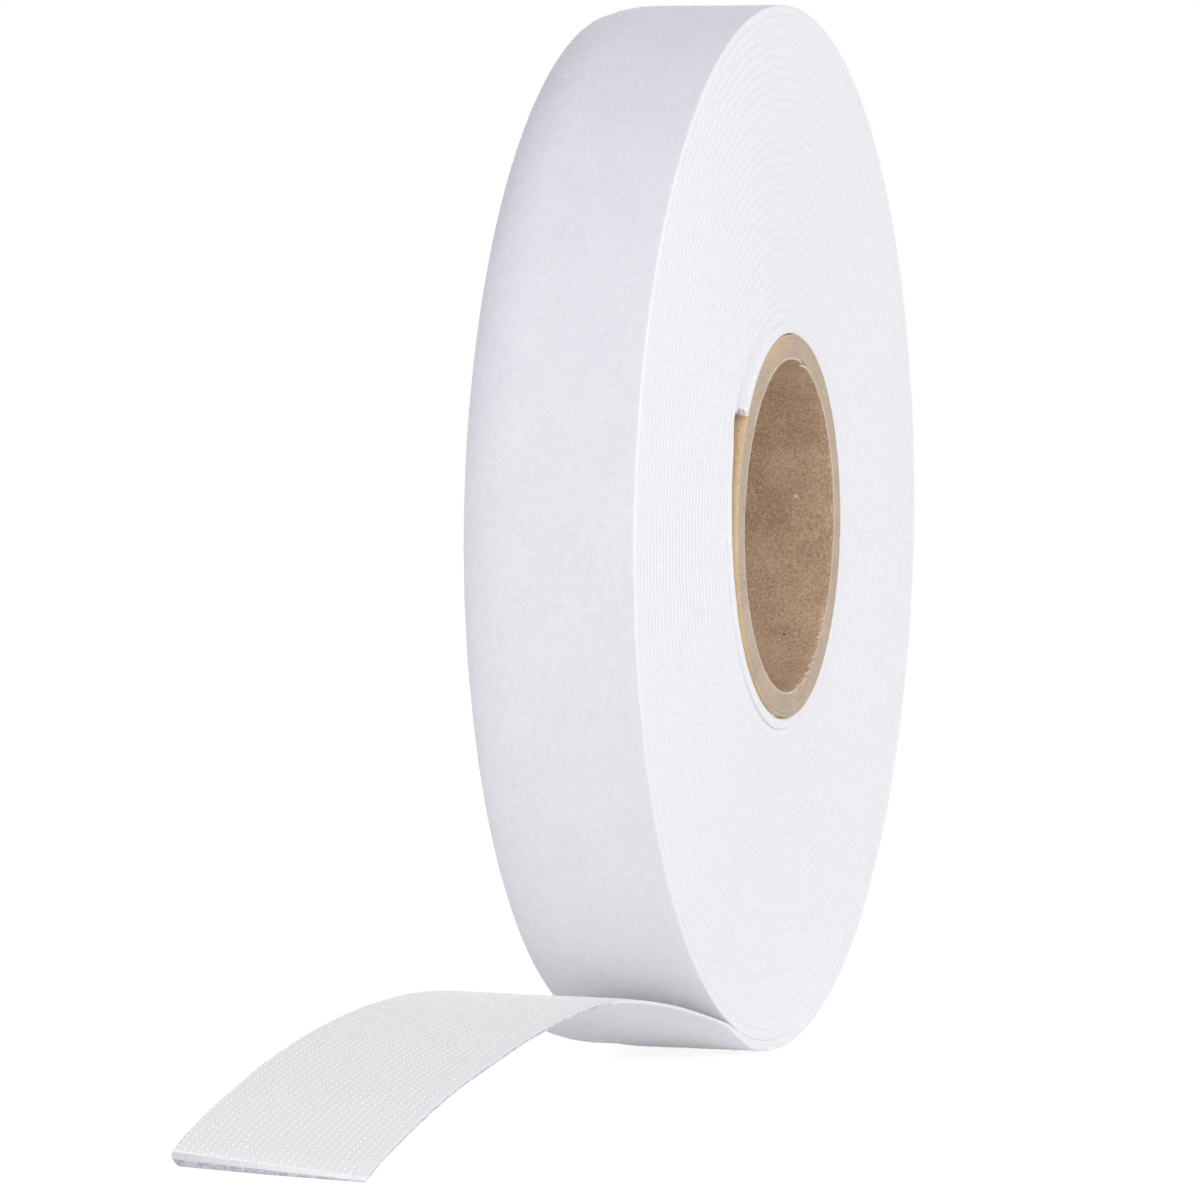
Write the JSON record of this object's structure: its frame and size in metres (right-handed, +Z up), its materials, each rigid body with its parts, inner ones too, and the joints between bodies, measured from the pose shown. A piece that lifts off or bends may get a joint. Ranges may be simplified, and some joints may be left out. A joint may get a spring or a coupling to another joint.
{
  "type": "hook and loop tape roll",
  "caption": "Roll of white hook and loop tape wound on a brown paper core, standing on its rim with the free end let down in front.",
  "frame": {"origin": "on the floor under the middle of the core, at the centre of the flat that the roll stands on", "axes": "+X along the core's axis, the free end of the tape towards -Y, +Z up"},
  "size_m": [0.0274, 0.2709, 0.1567],
  "materials": {
    "core_liner": "matte speckled kraft",
    "core_wall": "cut chipboard",
    "core_outer_ply": "smooth tan kraft",
    "starter_strip": "adhesive",
    "hook_ply": "rows of small stiff hooks",
    "loop_ply": "brushed loop pile"
  },
  "bodies": {
    "roll": {"core_liner": "core_liner", "core_wall": "core_wall", "core_outer_ply": "core_outer_ply", "starter_strip": "starter_strip", "winding_hook_ply": "hook_ply", "winding_loop_ply": "loop_ply"},
    "tail": {"tail_hook_ply": "hook_ply", "tail_loop_ply": "loop_ply"}
  },
  "joints": [
    {"name": "wind_on", "type": "hinge", "parent": "roll", "child": "tail", "pos_m": [0, 0, 0.07887], "axis": [-1, 0, 0], "range_deg": [0, 60]}
  ]
}
